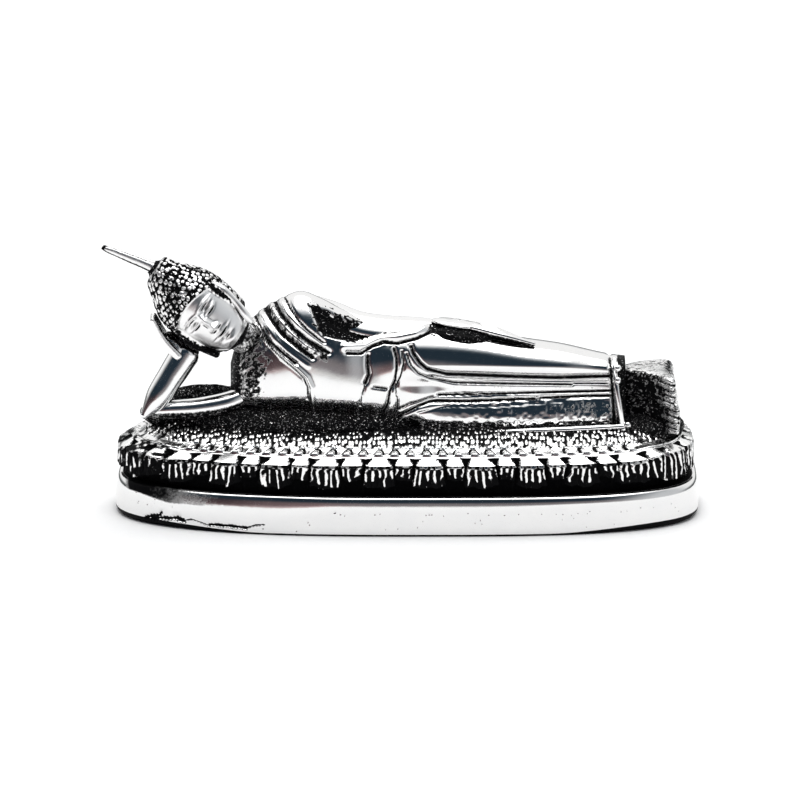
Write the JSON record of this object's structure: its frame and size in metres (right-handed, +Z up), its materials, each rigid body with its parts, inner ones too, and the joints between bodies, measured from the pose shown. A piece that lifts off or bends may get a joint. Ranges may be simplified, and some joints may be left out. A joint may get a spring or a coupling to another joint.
{
  "type": "reclining buddha statue",
  "caption": "Small cast white-metal statuette of a Buddha reclining on an oval lotus plinth, head propped on one hand, for a shelf or altar.",
  "frame": {"origin": "middle of the plinth's flat underside", "axes": "+X towards the feet, -X towards the head, the face looks along -Y, +Z up"},
  "size_m": [0.0768, 0.026, 0.0351],
  "materials": {
    "antique_silver": "cast white metal, polished bright on raised surfaces, black oxide left in the recesses"
  },
  "bodies": {
    "root": {"reclining_buddha": "antique_silver"}
  },
  "joints": []
}
